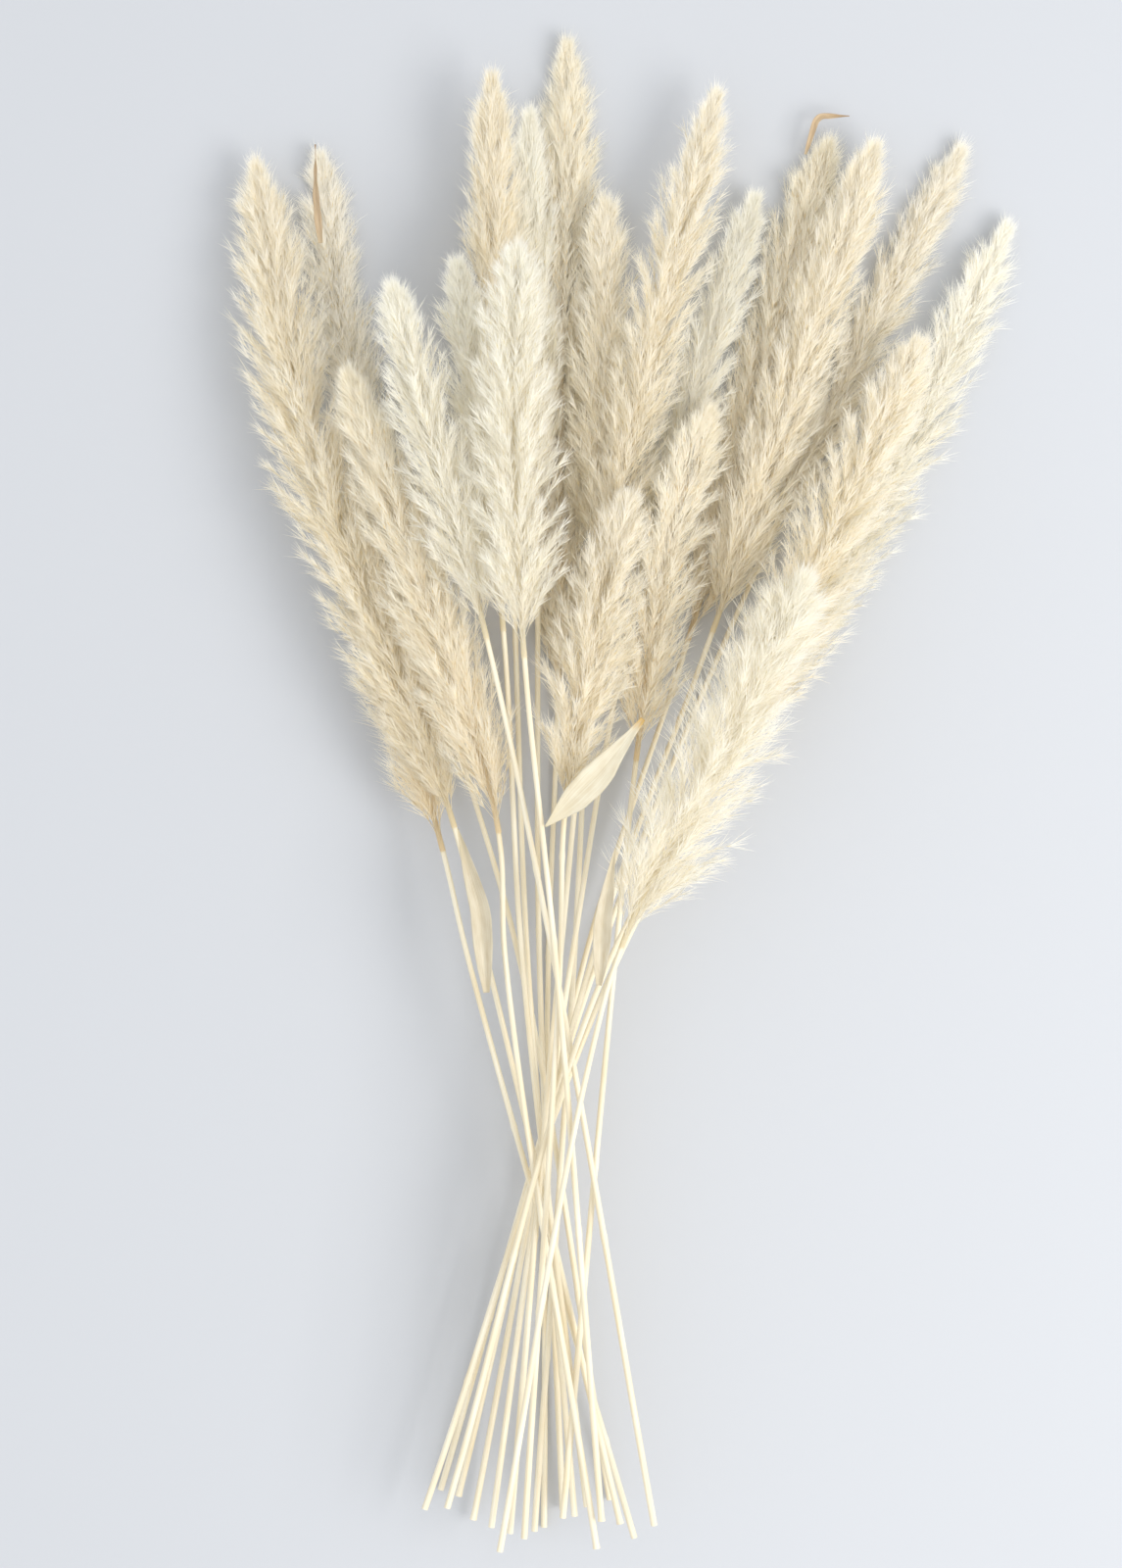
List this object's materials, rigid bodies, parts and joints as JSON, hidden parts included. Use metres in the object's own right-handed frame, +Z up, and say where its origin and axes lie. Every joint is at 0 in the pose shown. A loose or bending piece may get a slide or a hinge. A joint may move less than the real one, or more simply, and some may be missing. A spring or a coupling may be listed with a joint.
{
  "type": "bundle of dried pampas grass",
  "caption": "Loose bunch of dried pampas grass lying flat: feathery cream plumes fanned out on straw-coloured stems that gather at a neck and end in cut feet.",
  "frame": {"origin": "under the middle of the bunch, on the surface that it lies on", "axes": "+Y from the cut ends to the plume tips, +X to the right seen from above, +Z up from the surface"},
  "size_m": [0.3328, 0.6354, 0.0683],
  "materials": {
    "plume_ivory": "matt silky hairs, ivory",
    "plume_cream": "matt silky hairs, cream",
    "plume_wheat": "matt silky hairs, wheat",
    "stem": "satin dry straw",
    "leaf": "matt dry leaf blade",
    "husk": "matt brown dry leaf tip"
  },
  "bodies": {
    "root": {"plume_01": "plume_wheat", "stem_01": "stem", "plume_02": "plume_ivory", "stem_02": "stem", "plume_03": "plume_cream", "stem_03": "stem", "plume_04": "plume_wheat", "stem_04": "stem", "plume_05": "plume_cream", "stem_05": "stem", "plume_06": "plume_cream", "stem_06": "stem", "plume_07": "plume_cream", "stem_07": "stem", "plume_08": "plume_cream", "stem_08": "stem", "plume_09": "plume_ivory", "stem_09": "stem", "plume_10": "plume_ivory", "stem_10": "stem", "plume_11": "plume_wheat", "stem_11": "stem", "plume_12": "plume_cream", "stem_12": "stem", "plume_13": "plume_ivory", "stem_13": "stem", "plume_14": "plume_cream", "stem_14": "stem", "plume_15": "plume_wheat", "stem_15": "stem", "plume_16": "plume_wheat", "stem_16": "stem", "plume_17": "plume_ivory", "stem_17": "stem", "plume_18": "plume_cream", "stem_18": "stem", "plume_19": "plume_cream", "stem_19": "stem", "plume_20": "plume_ivory", "stem_20": "stem", "plume_21": "plume_ivory", "stem_21": "stem", "folded_leaf": "leaf", "flag_leaf": "husk", "curled_leaf": "husk", "left_sheath": "leaf", "right_sheath": "leaf"}
  },
  "joints": []
}
